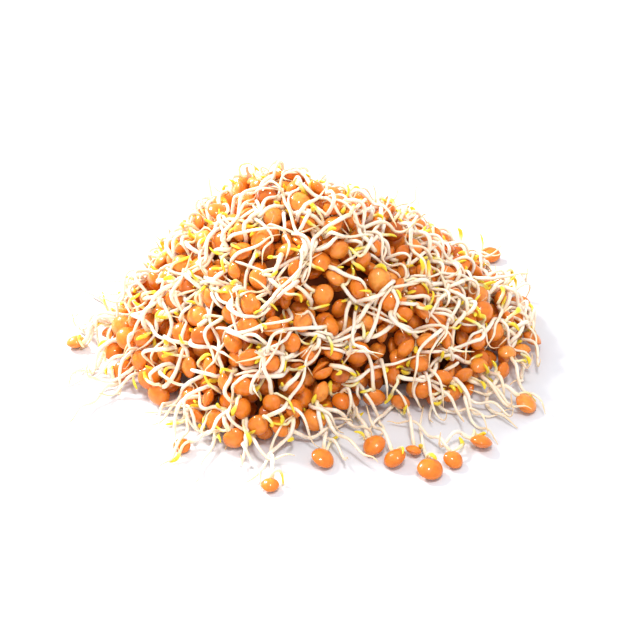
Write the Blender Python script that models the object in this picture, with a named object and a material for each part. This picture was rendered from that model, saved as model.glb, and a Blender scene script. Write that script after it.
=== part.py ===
"""A heap of sprouted lentils, tipped out on a table and holding together by its own tangled roots.

Every sprout is a lens-shaped seed with one root and one shoot, which leave it at the same place on its rim.
The seeds that show and the packed middle which they stand out of are one body. The roots and shoots that run
over them are a second. Each sprout at the foot of the heap has a seed and a root of its own.
Metres, +Z up. The front of the heap faces -Y, and the table is the plane z = 0.
"""

import math

import bmesh
import bpy
import numpy as np
from mathutils import Vector
from mathutils.bvhtree import BVHTree
from mathutils.kdtree import KDTree

MM = 0.001
RANDOM_SEED = 17

# Driving dimensions of the heap
HEAP_HEIGHT = 51.0 * MM
APEX = (-9.0 * MM, 9.0 * MM)
SLOPE_ROUNDNESS = 1.6
TOP_REACH = 60.0 * MM
LOWEST_SEED = 2.3 * MM
REACH = 90.0 * MM
# The foot of the heap: its distance from the apex's foot (mm) at compass bearings from +X (degrees)
FOOTPRINT = (
    (0, 75), (18, 71), (40, 62), (60, 53), (85, 48), (110, 46), (135, 47), (162, 51), (184, 55),
    (197, 56), (208, 53), (228, 51), (242, 53), (254, 57), (265, 56), (275, 50), (285, 47),
    (297, 44), (308, 49), (318, 57), (332, 66), (346, 72),
)

# Driving dimensions of a sprout
SEED_WIDTH = 6.0 * MM
SEED_THICKNESS_SHARE = 0.56
SEED_SIZE_SPREAD = 0.09
ROOT_LENGTH = (15.0 * MM, 31.0 * MM)
ROOT_BASE_RADIUS = 0.62 * MM
ROOT_TIP_RADIUS = 0.4 * MM
ROOT_TURNS = 48.0
SHOOT_LENGTH = (5.0 * MM, 11.0 * MM)
SHOOT_RADIUS = 0.45 * MM
LEAF_RADIUS = 0.62 * MM
STRAND_POINTS = 20

# How the sprouts lie on each other
SEED_SPACING = 5.7 * MM
SEED_TRIES = 12000
SEED_SINKING = 0.45 * MM
SETTLE_ROUNDS = 45
DRAPE_ROUNDS = 60
LIFT_ROUNDS = 12
EASE_ROUNDS = 30
DROOP = 0.02
GAP = 0.3 * MM

# The packed middle of the heap, and how finely the solids are cut
CORE_DEPTH = 1.4 * MM
CORE_RINGS = 6
CORE_SIDES = 24
SEED_SIDES = 6
ROOT_RINGS = 8
SHOOT_RINGS = 5
STRAND_SIDES = 3
ROOTS_SHOWN = 60
SHOOTS_SHOWN = 28

# How the roots are woven: seeds this far apart count as well spread, and a root is led aside to run into
# another no nearer to its crown than this point of its line
FAR_APART = 14.0 * MM
FIRST_BENT_POINT = 3

# Sprouts at the foot of the heap: x, y, bearing of the root and bearing of the shoot (mm, degrees)
EDGE_SPROUTS = (
    (-72.5, 3.2, 330, 200),
    (-38.1, -45.7, 35, 210),
    (-13.4, -62.5, 75, 250),
    (0.8, -51.8, 85, 60),
    (14.9, -46.6, 110, 260),
    (20.4, -52.0, 100, 330),
    (25.8, -47.8, 75, 300),
    (29.9, -56.6, 95, 150),
    (36.4, -52.2, 110, 20),
    (44.6, -44.7, 150, 20),
    (58.5, -27.5, 140, 15),
    (54.1, 50.4, 215, 80),
    (6.0, 62.0, 265, 120),
    (-51.0, 47.0, 300, 120),
)


def heap_outline(bearing):
    """The foot's distance from the apex's foot at bearings in radians, on a smooth closed curve."""
    degrees = np.array([b for b, _ in FOOTPRINT], float)
    reach = np.array([r for _, r in FOOTPRINT], float) * MM
    degrees = np.concatenate([degrees[-2:] - 360, degrees, degrees[:2] + 360])
    reach = np.concatenate([reach[-2:], reach, reach[:2]])
    at = np.degrees(bearing) % 360
    k = np.clip(np.searchsorted(degrees, at, side="right") - 1, 1, len(degrees) - 3)
    t = (at - degrees[k]) / (degrees[k + 1] - degrees[k])
    a, b, c, d = reach[k - 1], reach[k], reach[k + 1], reach[k + 2]
    slope_b, slope_c = (c - a) / 2, (d - b) / 2
    t2, t3 = t * t, t * t * t
    start = (2 * t3 - 3 * t2 + 1) * b + (t3 - 2 * t2 + t) * slope_b
    return start + (3 * t2 - 2 * t3) * c + (t3 - t2) * slope_c


def share_of_reach(x, y):
    """How far out a place lies, from 0 under the apex to 1 at the foot. The heap gets rounder upwards."""
    dx, dy = x - APEX[0], y - APEX[1]
    distance = np.hypot(dx, dy)
    outline = heap_outline(np.arctan2(dy, dx))
    return distance / (TOP_REACH + (outline - TOP_REACH) * np.clip(distance / outline, 0, 1))


def surface_height(x, y):
    """The height of the middle of the outermost seeds over the table."""
    rise = 1 - np.clip(share_of_reach(x, y), 0, 1) ** SLOPE_ROUNDNESS
    lumps = 0.045 * np.sin(x / (9 * MM) + 1.0) * np.cos(y / (8 * MM)) + 0.03 * np.sin((x + y) / (5 * MM))
    return LOWEST_SEED + (HEAP_HEIGHT - LOWEST_SEED) * np.clip(rise * (1 + lumps), 0, 1.05)


def surface_normal(x, y):
    step = 1.5 * MM
    dx = (surface_height(x + step, y) - surface_height(x - step, y)) / (2 * step)
    dy = (surface_height(x, y + step) - surface_height(x, y - step)) / (2 * step)
    return unit(np.stack([-dx, -dy, np.ones_like(dx)], -1))


def depth_under_surface(points):
    x, y, z = points[..., 0], points[..., 1], points[..., 2]
    return (surface_height(x, y) - z) * surface_normal(x, y)[..., 2]


def unit(vectors):
    return vectors / np.maximum(np.linalg.norm(vectors, axis=-1, keepdims=True), 1e-12)


def random_directions(random, count):
    return unit(random.normal(size=(count, 3)))


def headings(bearings, rise):
    """Level directions at compass bearings in degrees, tilted up by a rise."""
    angle = np.radians(bearings)
    return unit(np.column_stack([np.cos(angle), np.sin(angle), np.full(len(angle), float(rise))]))


def scattered(candidates, spacing):
    """Those of the candidate points, taken in order, that keep their spacing from all that came before."""
    kept = np.empty_like(candidates)
    count = 0
    for point in candidates:
        gaps = kept[:count] - point
        if count == 0 or np.einsum("ij,ij->i", gaps, gaps).min() > spacing**2:
            kept[count] = point
            count += 1
    return kept[:count]


def half_height(axis, width, thickness):
    """Half the height of a lens over the table, whichever way it is tilted."""
    upright = axis[..., 2] ** 2
    return np.sqrt((thickness / 2) ** 2 * upright + (width / 2) ** 2 * (1 - upright))


def reach_along(axis, width, thickness, direction):
    """How far a lens reaches from its middle along a direction."""
    along = np.einsum("...i,...i->...", axis, direction) ** 2
    return 1 / np.sqrt(along / (thickness / 2) ** 2 + (1 - along) / (width / 2) ** 2)


def settle(place, axis, width, thickness):
    """Moves overlapping seeds apart, keeps them off the table and presses strays back into the heap."""
    first, second = np.triu_indices(len(place), 1)
    near = np.linalg.norm(place[first] - place[second], axis=1) < 2 * SEED_WIDTH
    a, b = first[near], second[near]
    floor = half_height(axis, width, thickness) + GAP / 2
    for _ in range(SETTLE_ROUNDS):
        between = place[b] - place[a]
        distance = np.linalg.norm(between, axis=1)
        direction = between / distance[:, None]
        wanted = reach_along(axis[a], width[a], thickness[a], direction) + GAP
        wanted += reach_along(axis[b], width[b], thickness[b], direction)
        push = np.maximum(wanted - distance, 0)[:, None] * direction * 0.4
        move = np.zeros_like(place)
        np.add.at(move, a, -push)
        np.add.at(move, b, push)
        stray = np.maximum(-depth_under_surface(place) - 2 * SEED_SINKING, 0)
        move -= 0.3 * stray[:, None] * surface_normal(place[:, 0], place[:, 1])
        place = place + move
        place[:, 2] = np.maximum(place[:, 2], floor)
    return place


def make_seeds(random):
    """The edge sprouts' seeds, then those on the heap: middle, lens axis, crown direction and size."""
    flat = random.uniform(-REACH, REACH, size=(SEED_TRIES, 2))
    flat = flat[share_of_reach(flat[:, 0], flat[:, 1]) < 0.985]
    height = surface_height(flat[:, 0], flat[:, 1]) + random.normal(0, SEED_SINKING, len(flat))
    heap = scattered(np.column_stack([flat, height]), SEED_SPACING)
    edge = np.array([(x * MM, y * MM, 0) for x, y, _, _ in EDGE_SPROUTS])
    place = np.concatenate([edge, heap])
    count = len(place)
    on_edge = np.arange(count) < len(edge)
    width = SEED_WIDTH * np.clip(random.normal(1, SEED_SIZE_SPREAD, count), 0.8, 1.2)
    thickness = width * SEED_THICKNESS_SHARE * random.uniform(0.92, 1.12, count)
    lean = np.where(on_edge, 0.45, 0.85)[:, None]
    axis = unit(surface_normal(place[:, 0], place[:, 1]) + lean * random_directions(random, count))
    crown = random_directions(random, count)
    crown[on_edge] = headings([root for _, _, root, _ in EDGE_SPROUTS], 0)
    crown = unit(crown - np.einsum("ij,ij->i", crown, axis)[:, None] * axis)
    place = settle(place, axis, width, thickness)
    shape = {"axis": axis, "crown": crown, "width": width, "thickness": thickness}
    return {"place": place, "edge": on_edge, **shape}


def grow(random, seeds, heading, length, turn_rate, bend, height_wanted):
    """Lines of points that leave their seeds' crowns and wander just over the heap's surface."""
    place, crown, width = seeds["place"], seeds["crown"], seeds["width"]
    count = len(place)
    points = np.empty((count, STRAND_POINTS, 3))
    points[:, 0] = place + crown * (width * 0.44)[:, None]
    step = (length / (STRAND_POINTS - 1))[:, None]
    size = random.normal(size=(3, count, 3)) * turn_rate
    pace = random.uniform(0.4, 2.2, (3, count, 1))
    start = random.uniform(0, 2 * math.pi, (3, count, 1))
    kink_at = random.integers(4, STRAND_POINTS * 2, count)
    kink = random_directions(random, count) * random.uniform(0.7, 1.5, (count, 1))
    for k in range(1, STRAND_POINTS):
        before = points[:, k - 1]
        wander = (size * np.sin(2 * math.pi * pace * k / STRAND_POINTS + start)).sum(0)
        turn = (wander + bend) * step + np.where((kink_at == k)[:, None], kink, 0)
        heading = unit(heading + np.cross(turn, heading))
        outward = surface_normal(before[:, 0], before[:, 1])
        sunk = depth_under_surface(before) + height_wanted
        steer = np.clip(sunk / (3 * MM), -0.6, 0.6) * step[:, 0] / (1.2 * MM)
        heading = heading + outward * steer[:, None]
        heading[:, 2] -= DROOP
        low = np.clip((2.5 * MM - before[:, 2]) / (2 * MM), 0, 1)
        heading[:, 2] += low * np.maximum(-heading[:, 2], 0)
        heading = unit(heading)
        points[:, k] = before + heading * step
        points[:, k, 2] = np.maximum(points[:, k, 2], SHOOT_RADIUS)
    return points


def grow_roots(random, seeds):
    """Each seed's root: its line of points, the radius at each point and the length between two points."""
    count = len(seeds["place"])
    share = np.linspace(0, 1, STRAND_POINTS)
    length = random.uniform(*ROOT_LENGTH, count)
    height = random.uniform(-0.2, 3.4, count) * MM
    heading = unit(seeds["crown"] + 0.35 * random_directions(random, count))
    points = grow(random, seeds, heading, length, ROOT_TURNS, 0, height)
    swell = random.uniform(0.85, 1.15, count)[:, None]
    radius = ROOT_TIP_RADIUS + (ROOT_BASE_RADIUS - ROOT_TIP_RADIUS) * (1 - share**2.2)
    return points, radius * swell, length / (STRAND_POINTS - 1)


def grow_shoots(random, seeds):
    """Each seed's shoot, which hooks over and swells to its folded first leaves."""
    count = len(seeds["place"])
    share = np.linspace(0, 1, STRAND_POINTS)
    length = random.uniform(*SHOOT_LENGTH, count)
    side = np.cross(seeds["axis"], seeds["crown"])
    way = np.where(random.random(count) < 0.5, -1.0, 1.0)[:, None]
    lift = seeds["axis"] * random.normal(size=(count, 1))
    heading = unit(0.5 * seeds["crown"] + way * side + 0.4 * lift)
    heading[seeds["edge"]] = headings([shoot for _, _, _, shoot in EDGE_SPROUTS], 0.35)
    hook = random_directions(random, count) * random.uniform(60, 330, (count, 1))
    height = random.uniform(1.0, 4.2, count) * MM
    points = grow(random, seeds, heading, length, 90.0, hook, height)
    swell = random.uniform(0.85, 1.15, count)[:, None]
    leaf = np.clip((share - 0.68) / 0.14, 0, 1)
    radius = SHOOT_RADIUS + (LEAF_RADIUS - SHOOT_RADIUS) * leaf
    return points, radius * swell, length / (STRAND_POINTS - 1)


def push_out_of_seeds(flat, radius, near, seeds, own):
    """Moves strand points that lie in a seed out along the line from the seed's middle."""
    offset = flat[:, None] - seeds["place"][near]
    along = np.einsum("nki,nki->nk", offset, seeds["axis"][near])
    across = np.maximum(np.einsum("nki,nki->nk", offset, offset) - along**2, 0)
    tall = seeds["thickness"][near] / 2 + radius[:, None]
    wide = seeds["width"][near] / 2 + radius[:, None]
    inside = np.maximum(np.sqrt((along / tall) ** 2 + across / wide**2), 0.3)
    inside[own] = 2.0
    row = np.arange(len(flat))
    deepest = inside.argmin(1)
    share = inside[row, deepest]
    out = offset[row, deepest] * (1 / share - 1)[:, None]
    return np.where((share < 1)[:, None], out, 0)


def drape(points, radius, step, seeds):
    """Lets strands down on the seeds. They keep their length and most of their bends."""
    bends = points[:, 1:-1] - (points[:, :-2] + points[:, 2:]) / 2
    start = points[:, 0].copy()
    tree = KDTree(len(seeds["place"]))
    for index, place in enumerate(seeds["place"]):
        tree.insert(place, index)
    tree.balance()
    owner = np.repeat(np.arange(len(points)), STRAND_POINTS)
    at_crown = np.tile(np.arange(STRAND_POINTS) < 3, len(points))
    for round_number in range(DRAPE_ROUNDS):
        if round_number % 20 == 0:
            flat = points.reshape(-1, 3)
            near = np.array([[index for _, index, _ in tree.find_n(point, 7)] for point in flat])
            own = (near == owner[:, None]) & at_crown[:, None]
        points[:, 1:, 2] -= 0.02 * MM
        straight = (points[:, :-2] + points[:, 2:]) / 2 + bends
        points[:, 1:-1] += 0.35 * (straight - points[:, 1:-1])
        flat = points.reshape(-1, 3)
        flat = flat + push_out_of_seeds(flat, radius.reshape(-1), near, seeds, own)
        points = flat.reshape(points.shape)
        points[..., 2] = np.maximum(points[..., 2], radius + GAP / 2)
        points[:, 0] = start
        for k in range(1, STRAND_POINTS):
            along = unit(points[:, k] - points[:, k - 1])
            points[:, k] = points[:, k - 1] + along * step[:, None]
    points[..., 2] = np.maximum(points[..., 2], radius + GAP / 2)
    return points


def ring_faces(count, sides):
    """The side faces of a stack of rings whose vertices come ring by ring."""
    faces = []
    for ring in range(count - 1):
        for side in range(sides):
            after = (side + 1) % sides
            low, high = ring * sides, (ring + 1) * sides
            faces.append((low + side, low + after, high + after, high + side))
    return faces


def fan(ring, sides, tip):
    """The faces from one ring of a stack to a single point above it."""
    return [(ring * sides + side, ring * sides + (side + 1) % sides, tip) for side in range(sides)]


def lens(seeds, index):
    """A seed: a round lens, thickest in the middle, with a rounded rim."""
    axis, crown = seeds["axis"][index], seeds["crown"][index]
    side = np.cross(axis, crown)
    half_width, half_thickness = seeds["width"][index] / 2, seeds["thickness"][index] / 2
    rings = ((-0.42, 0.95), (0.42, 0.95))
    vertices = []
    for height, reach in rings:
        for turn in np.arange(SEED_SIDES) * 2 * math.pi / SEED_SIDES:
            across = crown * math.cos(turn) + side * math.sin(turn)
            vertices.append(axis * height * half_thickness + across * reach * half_width)
    vertices += [-axis * half_thickness, axis * half_thickness]
    tip = len(rings) * SEED_SIDES
    under = [face[::-1] for face in fan(0, SEED_SIDES, tip)]
    faces = ring_faces(len(rings), SEED_SIDES) + under + fan(len(rings) - 1, SEED_SIDES, tip + 1)
    return np.array(vertices) + seeds["place"][index], faces


def strand(line, radii):
    """A root or shoot: a tube with flat ends along a line of points."""
    directions = unit(np.gradient(line, axis=0))
    across = unit(np.cross(directions[0], (0.3, 0.5, 0.81)))
    vertices = []
    for point, direction, radius in zip(line, directions, radii):
        across = unit(across - direction * (across @ direction))
        up = np.cross(direction, across)
        for turn in np.arange(STRAND_SIDES) * 2 * math.pi / STRAND_SIDES:
            vertices.append(point + radius * (across * math.cos(turn) + up * math.sin(turn)))
    last = (len(line) - 1) * STRAND_SIDES
    ends = [tuple(range(STRAND_SIDES)), tuple(range(last, last + STRAND_SIDES))]
    return vertices, ring_faces(len(line), STRAND_SIDES) + ends


def core():
    """The packed middle of the heap: a dome a little under the seeds, flat where it lies on the table."""
    bearings = np.arange(CORE_SIDES) * 2 * math.pi / CORE_SIDES
    outline = heap_outline(bearings)
    vertices = []
    for share in np.linspace(0.985, 0, CORE_RINGS, endpoint=False):
        x = APEX[0] + share * outline * np.cos(bearings)
        y = APEX[1] + share * outline * np.sin(bearings)
        ring = np.column_stack([x, y, surface_height(x, y)]) - surface_normal(x, y) * CORE_DEPTH
        if not vertices:
            vertices.extend(ring * (1, 1, 0))
        vertices.extend(ring)
    x, y = np.array([APEX[0]]), np.array([APEX[1]])
    vertices.append((APEX[0], APEX[1], surface_height(x, y)[0] - CORE_DEPTH))
    underside = [tuple(range(CORE_SIDES))]
    top = fan(CORE_RINGS, CORE_SIDES, len(vertices) - 1)
    return vertices, ring_faces(CORE_RINGS + 1, CORE_SIDES) + top + underside


def make_solid(shape):
    """A closed mesh object with its faces pointing out, not yet in the scene."""
    vertices, faces = shape
    mesh = bpy.data.meshes.new("solid")
    mesh.from_pydata([tuple(vertex) for vertex in vertices], [], faces)
    shape = bmesh.new()
    shape.from_mesh(mesh)
    bmesh.ops.recalc_face_normals(shape, faces=shape.faces)
    shape.to_mesh(mesh)
    shape.free()
    return bpy.data.objects.new("solid", mesh)


def keep_largest_shell(mesh):
    """Drops loose scraps, and fills sealed hollows by dropping their walls."""
    shape = bmesh.new()
    shape.from_mesh(mesh)
    unseen = set(shape.verts)
    largest = set()
    while unseen:
        start = unseen.pop()
        shell, waiting = {start}, [start]
        while waiting:
            vertex = waiting.pop()
            around = {edge.other_vert(vertex) for edge in vertex.link_edges} & unseen
            unseen -= around
            shell |= around
            waiting.extend(around)
        largest = max(largest, shell, key=len)
    scraps = [vertex for vertex in shape.verts if vertex not in largest]
    bmesh.ops.delete(shape, geom=scraps, context="VERTS")
    shape.to_mesh(mesh)
    shape.free()


def fused(shapes):
    """One mesh of all the shapes united by a single Boolean."""
    solids = [make_solid(shape) for shape in shapes]
    if len(solids) == 1:
        return solids[0].data
    pieces = bpy.data.collections.new("pieces")
    for piece in solids[1:]:
        pieces.objects.link(piece)
    bpy.context.scene.collection.objects.link(solids[0])
    bpy.context.scene.collection.children.link(pieces)
    union = solids[0].modifiers.new("union", "BOOLEAN")
    union.operation = "UNION"
    union.solver = "MANIFOLD"
    union.operand_type = "COLLECTION"
    union.collection = pieces
    bpy.context.view_layer.update()
    evaluated = solids[0].evaluated_get(bpy.context.evaluated_depsgraph_get())
    mesh = bpy.data.meshes.new_from_object(evaluated)
    for piece in solids:
        bpy.data.objects.remove(piece)
    bpy.data.collections.remove(pieces)
    keep_largest_shell(mesh)
    return mesh


def add_node(name, mesh, material):
    mesh.name = name
    mesh.shade_smooth()
    mesh.set_sharp_from_angle(angle=math.radians(50))
    mesh.materials.clear()
    mesh.materials.append(material)
    node = bpy.data.objects.new(name, mesh)
    bpy.context.scene.collection.objects.link(node)


def search_tree(shape):
    vertices, faces = shape
    return BVHTree.FromPolygons([tuple(vertex) for vertex in vertices], faces)


def mesh_tree(mesh):
    vertices = [vertex.co.copy() for vertex in mesh.vertices]
    return BVHTree.FromPolygons(vertices, [tuple(face.vertices) for face in mesh.polygons])


def cut_in_four(line):
    """A line, or the radii along it, with each stretch between two points cut in four."""
    at = np.linspace(0, len(line) - 1, 4 * len(line) - 3)
    columns = [np.interp(at, np.arange(len(line)), column) for column in line.reshape(len(line), -1).T]
    return np.column_stack(columns)


def lifted_clear(line, radii, tree):
    """A strand's line, moved out until all of the strand lies just over the solid that it rests on."""
    line = line.copy()
    wanted = cut_in_four(radii)[:, 0] + 1.5 * GAP
    for _ in range(LIFT_ROUNDS):
        move = np.zeros_like(line)
        for k, point in enumerate(cut_in_four(line)):
            place, normal, _, distance = tree.find_nearest(Vector(point))
            sunk = (Vector(point) - place).dot(normal) < 0
            short = wanted[k] + (distance if sunk else -distance)
            if short > 0:
                share = k % 4 / 4
                move[k // 4] += normal * short * (1 - share)
                move[min(k // 4 + 1, len(line) - 1)] += normal * short * share
        line += 0.35 * move
        line[:, 2] = np.maximum(line[:, 2], radii + GAP / 2)
    return line


def thinned(line, rings):
    """Some of a line's points, evenly spread and with both ends."""
    return line[np.linspace(0, len(line) - 1, rings).round().astype(int)]


def runs_into(line, radii, tree):
    """Whether a strand meets or nearly meets a solid."""
    return bool(search_tree(strand(line, radii + GAP / 2)).overlap(tree))


def crosses_itself(line, radii):
    """Whether a strand is bent so sharply that its own sides run through each other."""
    vertices, faces = strand(line, radii)
    tree = search_tree((vertices, faces))
    return any(not set(faces[a]) & set(faces[b]) for a, b in tree.overlap(tree))


def eased(line, radii):
    """A strand's line with its bends let out until it no longer crosses itself."""
    line = line.copy()
    for _ in range(EASE_ROUNDS):
        if not crosses_itself(line, radii):
            break
        line[1:-1] += 0.3 * ((line[:-2] + line[2:]) / 2 - line[1:-1])
    return line


def laid_on(lines, radii, rings, tree, indices):
    """The strands that can lie on a solid without running into it, as lines and radii by seed."""
    laid = {}
    for index in indices:
        thin_radii = thinned(radii[index], rings)
        line = eased(lifted_clear(thinned(lines[index], rings), thin_radii, tree), thin_radii)
        if not runs_into(line, thin_radii, tree):
            laid[int(index)] = (line, thin_radii)
    return laid


def closest_approach(line, other):
    """How near a line comes to another, at which of its points, and the way to the other from there."""
    ways = other[None] - line[FIRST_BENT_POINT:, None]
    gaps = np.linalg.norm(ways, axis=2)
    point, target = np.unravel_index(gaps.argmin(), gaps.shape)
    return gaps[point, target], point + FIRST_BENT_POINT, ways[point, target]


def bent(line, radii, tree, at_point, way):
    """A strand's line, led aside so that one of its points moves by a way, and clear of a solid."""
    reach = np.clip(np.arange(len(line)) / at_point, 0, 1)
    reach = reach * reach * (3 - 2 * reach)
    moved = lifted_clear(line + way * reach[:, None], radii, tree)
    moved[at_point] = line[at_point] + way
    return moved


def weave(laid, tree):
    """Roots that hang together. The next is always one that starts far from the rest, but needs leading
    aside only a little to run into one of them."""
    waiting = dict(laid)
    starts = {index: line[0] for index, (line, _) in laid.items()}
    newest = max(waiting, key=lambda index: starts[index][2])
    woven = {newest: waiting.pop(newest)}
    approach = dict.fromkeys(waiting, (math.inf,))
    spread = dict.fromkeys(waiting, FAR_APART)
    while newest is not None and len(woven) < ROOTS_SHOWN:
        target = cut_in_four(woven[newest][0])
        for index, (line, _) in waiting.items():
            approach[index] = min(approach[index], closest_approach(line, target), key=lambda found: found[0])
            spread[index] = min(spread[index], np.linalg.norm(starts[index] - starts[newest]))
        newest = None
        for index in sorted(waiting, key=lambda index: approach[index][0] - spread[index]):
            if approach[index][0] == math.inf:
                break
            line, radii = waiting[index]
            line = bent(line, radii, tree, *approach[index][1:])
            if runs_into(line, radii, tree) or crosses_itself(line, radii):
                approach[index] = (math.inf,)
            else:
                del waiting[index]
                woven[index] = (line, radii)
                newest = index
                break
    return woven


def clear_part(line, radii, trees):
    """How many of a strand's first points keep their gap from other solids."""
    for count, (point, radius) in enumerate(zip(line, radii)):
        for tree in trees:
            if tree.find_nearest(Vector(point))[3] < radius + 2 * GAP:
                return count
    return len(line)


def make_material(name, colour, roughness):
    material = bpy.data.materials.new(name)
    material.use_nodes = True
    shader = material.node_tree.nodes["Principled BSDF"]
    shader.inputs["Base Color"].default_value = (*colour, 1)
    shader.inputs["Roughness"].default_value = roughness
    shader.inputs["Metallic"].default_value = 0
    material.diffuse_color = (*colour, 1)
    return material


def add_heap(seeds, roots, shoots, seed_coat, root_flesh):
    """The fused seeds, and the tangle of roots and shoots on them. Gives a search tree of each."""
    on_heap = np.flatnonzero(~seeds["edge"])
    seed_mesh = fused([core()] + [lens(seeds, index) for index in on_heap])
    add_node("seed_heap", seed_mesh, seed_coat)
    seed_tree = mesh_tree(seed_mesh)
    woven = weave(laid_on(*roots, ROOT_RINGS, seed_tree, on_heap), seed_tree)
    laid_shoots = laid_on(*shoots, SHOOT_RINGS, seed_tree, woven)
    strands = [strand(*root) for root in woven.values()]
    strands += [strand(*shoot) for shoot in list(laid_shoots.values())[:SHOOTS_SHOWN]]
    root_mesh = fused(strands)
    add_node("root_tangle", root_mesh, root_flesh)
    return [seed_tree, mesh_tree(root_mesh)]


def add_edge_sprouts(seeds, roots, shoots, trees, seed_coat, root_flesh):
    """Each sprout at the foot of the heap, whose root runs up to the heap and stops just short of it."""
    lenses = [lens(seeds, index) for index in np.flatnonzero(seeds["edge"])]
    lens_trees = [search_tree(shape) for shape in lenses]
    for index, shape in enumerate(lenses):
        name = f"edge_sprout_{index + 1:02d}"
        add_node(name + "_seed", make_solid(shape).data, seed_coat)
        others = trees + lens_trees[:index] + lens_trees[index + 1 :]
        strands = []
        for lines, radii, rings in ((*roots, ROOT_RINGS), (*shoots, SHOOT_RINGS)):
            thin_radii = thinned(radii[index], rings)
            line = eased(lifted_clear(thinned(lines[index], rings), thin_radii, lens_trees[index]), thin_radii)
            count = clear_part(line, thin_radii, others)
            if count > 1:
                strands.append(strand(line[:count], thin_radii[:count]))
        if strands:
            mesh = fused(strands)
            add_node(name + "_root", mesh, root_flesh)
            trees = trees + [mesh_tree(mesh)]


def main():
    for item in list(bpy.data.objects):
        bpy.data.objects.remove(item)
    random = np.random.default_rng(RANDOM_SEED)
    seeds = make_seeds(random)
    roots, root_radii, root_steps = grow_roots(random, seeds)
    shoots, shoot_radii, shoot_steps = grow_shoots(random, seeds)
    roots = (drape(roots, root_radii, root_steps, seeds), root_radii)
    shoots = (drape(shoots, shoot_radii, shoot_steps, seeds), shoot_radii)
    seed_coat = make_material("seed_coat", (0.80, 0.25, 0.05), 0.35)
    root_flesh = make_material("root_flesh", (0.86, 0.78, 0.62), 0.5)
    trees = add_heap(seeds, roots, shoots, seed_coat, root_flesh)
    add_edge_sprouts(seeds, roots, shoots, trees, seed_coat, root_flesh)


main()
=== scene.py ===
"""A heap of lentil sprouts on a white table: every seed, root and shoot that can be seen, in wet colours.

The seeds, roots and shoots of the outermost layer grow by the same rules, and from the same random
numbers, as those of the CAD part, so they lie where its solids lie. More sprouts are buried under them,
and then all roots and shoots are let down on the seeds and on each other.
"""

import functools
import math

import bpy
import numpy as np
from bpy.props import FloatProperty, FloatVectorProperty, IntProperty, PointerProperty
from mathutils.kdtree import KDTree
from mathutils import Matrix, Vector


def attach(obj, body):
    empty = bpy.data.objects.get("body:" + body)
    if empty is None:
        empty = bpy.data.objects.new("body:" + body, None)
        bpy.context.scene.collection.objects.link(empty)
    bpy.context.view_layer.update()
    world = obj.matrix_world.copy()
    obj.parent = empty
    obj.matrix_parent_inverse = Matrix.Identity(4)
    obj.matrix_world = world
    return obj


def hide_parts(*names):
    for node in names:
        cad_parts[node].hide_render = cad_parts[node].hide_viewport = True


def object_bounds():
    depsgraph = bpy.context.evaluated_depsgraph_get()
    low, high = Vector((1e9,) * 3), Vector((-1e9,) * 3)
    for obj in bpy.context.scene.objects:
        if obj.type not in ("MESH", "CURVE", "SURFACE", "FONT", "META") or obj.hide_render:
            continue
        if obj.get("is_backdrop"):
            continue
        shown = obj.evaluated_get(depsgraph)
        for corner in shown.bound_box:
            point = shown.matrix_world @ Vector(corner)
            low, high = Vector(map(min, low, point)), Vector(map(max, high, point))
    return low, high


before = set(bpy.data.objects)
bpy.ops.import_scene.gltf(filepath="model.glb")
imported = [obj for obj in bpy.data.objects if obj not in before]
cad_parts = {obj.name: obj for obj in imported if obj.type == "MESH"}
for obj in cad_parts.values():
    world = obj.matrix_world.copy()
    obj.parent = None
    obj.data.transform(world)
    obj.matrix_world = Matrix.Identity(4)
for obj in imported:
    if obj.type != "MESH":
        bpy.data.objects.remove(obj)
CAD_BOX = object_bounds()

bl_info = {
    "name": "Lentil Sprout Heap",
    "version": (1, 0, 0),
    "blender": (4, 5, 0),
    "location": "3D View > Sidebar > Sprouts",
    "description": "Builds a heap of sprouted lentils around its CAD part",
    "category": "Add Mesh",
}

MM = 0.001
RANDOM_SEED = 17
BURIED_RANDOM_SEED = 5
LOOKS_RANDOM_SEED = 8

# The heap, as in the CAD part. Its rise goes from 0 at the foot to 1 at the apex, and its lumps are
# shares of that
HEAP_HEIGHT = 51.0 * MM
APEX = (-9.0 * MM, 9.0 * MM)
SLOPE_ROUNDNESS = 1.6
TOP_REACH = 60.0 * MM
LOWEST_SEED = 2.3 * MM
LARGE_LUMPS = 0.045
LARGE_LUMP_LENGTHS = (9.0 * MM, 8.0 * MM)
SMALL_LUMPS = 0.03
SMALL_LUMP_LENGTH = 5.0 * MM
HIGHEST_RISE = 1.05
REACH = 90.0 * MM
# The foot of the heap: its distance from the apex's foot (mm) at compass bearings from +X (degrees)
FOOTPRINT = (
    (0, 75), (18, 71), (40, 62), (60, 53), (85, 48), (110, 46), (135, 47), (162, 51), (184, 55),
    (197, 56), (208, 53), (228, 51), (242, 53), (254, 57), (265, 56), (275, 50), (285, 47),
    (297, 44), (308, 49), (318, 57), (332, 66), (346, 72),
)

# A sprout, as in the CAD part. Turns and hooks are in radians a metre, kinks in radians. A strand is
# steered by how far it lies from its wanted height, and levels out near the table
SEED_WIDTH = 6.0 * MM
SEED_THICKNESS_SHARE = 0.56
SEED_SIZE_SPREAD = 0.09
SEED_SIZE_LIMITS = (0.8, 1.2)
SEED_PLUMPNESS = (0.92, 1.12)
SEED_LEAN = 0.85
EDGE_SEED_LEAN = 0.45
CROWN_REACH = 0.44
ROOT_LENGTH = (15.0 * MM, 31.0 * MM)
ROOT_BASE_RADIUS = 0.62 * MM
ROOT_TIP_RADIUS = 0.4 * MM
ROOT_FULLNESS = 2.2
ROOT_LEAN = 0.35
ROOT_TURNS = 48.0
ROOT_RISE = (-0.2 * MM, 3.4 * MM)
SHOOT_LENGTH = (5.0 * MM, 11.0 * MM)
SHOOT_RADIUS = 0.45 * MM
SHOOT_TURNS = 90.0
SHOOT_HOOK = (60, 330)
SHOOT_RISE_MM = (1.0, 4.2)
SHOOT_FORWARD = 0.5
SHOOT_LIFT = 0.4
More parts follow.
